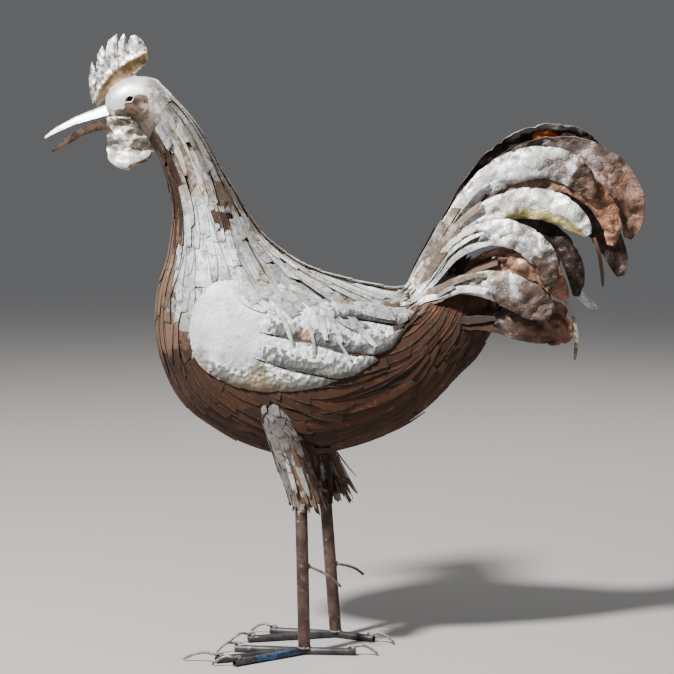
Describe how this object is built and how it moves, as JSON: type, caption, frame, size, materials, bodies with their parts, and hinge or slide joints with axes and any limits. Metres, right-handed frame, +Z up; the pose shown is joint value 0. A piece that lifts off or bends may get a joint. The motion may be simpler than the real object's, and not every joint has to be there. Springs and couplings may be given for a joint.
{
  "type": "scrap metal rooster sculpture",
  "caption": "Standing rooster welded from scrap: body of overlapping sheet-metal strips, hammered wings, sickle tail feathers, sheet comb, and pipe legs with pipe toes and wire claws.",
  "frame": {"origin": "on the ground, under the middle of the whole bird's extents", "axes": "+Z up; the beak points along -X and the tail along +X; the bird's left side faces -Y"},
  "size_m": [1.3021, 0.3882, 1.3483],
  "materials": {
    "body": "weathered galvanised, rust showing through",
    "head": "pale weathered galvanised, rusty cheek",
    "wing": "hammered galvanised with brown staining",
    "comb": "pale rim, golden brown stains",
    "wattle": "hammered, olive and brown staining",
    "beak_upper": "bright galvanised",
    "beak_lower": "rusty",
    "eye": "bright",
    "tail_pale": "crumpled galvanised, brown-pink at the tips",
    "tail_brown": "rust brown with paler patches",
    "thigh": "grey and rusty strips",
    "fringe": "rusty and olive",
    "leg": "brown pipe, mill scale",
    "toe": "grey pipe",
    "claw": "grey wire",
    "spur": "brown wire"
  },
  "bodies": {
    "root": {"beak_lower": "beak_lower", "beak_upper": "beak_upper", "body": "body", "claw_back_left": "claw", "claw_back_right": "claw", "claw_inner_left": "claw", "claw_middle_left": "claw", "claw_middle_right": "claw", "claw_outer_left": "claw", "claw_outer_right": "claw", "comb": "comb", "eye_left": "eye", "eye_right": "eye", "fringe_left": "fringe", "fringe_right": "fringe", "head": "head", "leg_left": "leg", "leg_right": "leg", "spur_left": "spur", "spur_right": "spur", "tail_feather_01": "tail_pale", "tail_feather_02": "tail_brown", "tail_feather_03": "tail_pale", "tail_feather_04": "tail_brown", "tail_feather_05": "tail_pale", "tail_feather_06": "tail_brown", "tail_feather_07": "tail_pale", "tail_feather_08": "tail_brown", "tail_feather_09": "tail_brown", "tail_feather_10": "tail_brown", "tail_feather_11": "tail_brown", "tail_feather_12": "tail_brown", "tail_feather_13": "tail_brown", "tail_feather_14": "tail_brown", "tail_feather_15": "tail_brown", "tail_feather_16": "tail_brown", "thigh_left": "thigh", "thigh_right": "thigh", "toe_back_left": "toe", "toe_back_right": "toe", "toe_inner_left": "toe", "toe_middle_left": "toe", "toe_middle_right": "toe", "toe_outer_left": "toe", "toe_outer_right": "toe", "wattle_left": "wattle", "wattle_right": "wattle", "wing_left": "wing", "wing_right": "wing"}
  },
  "joints": []
}
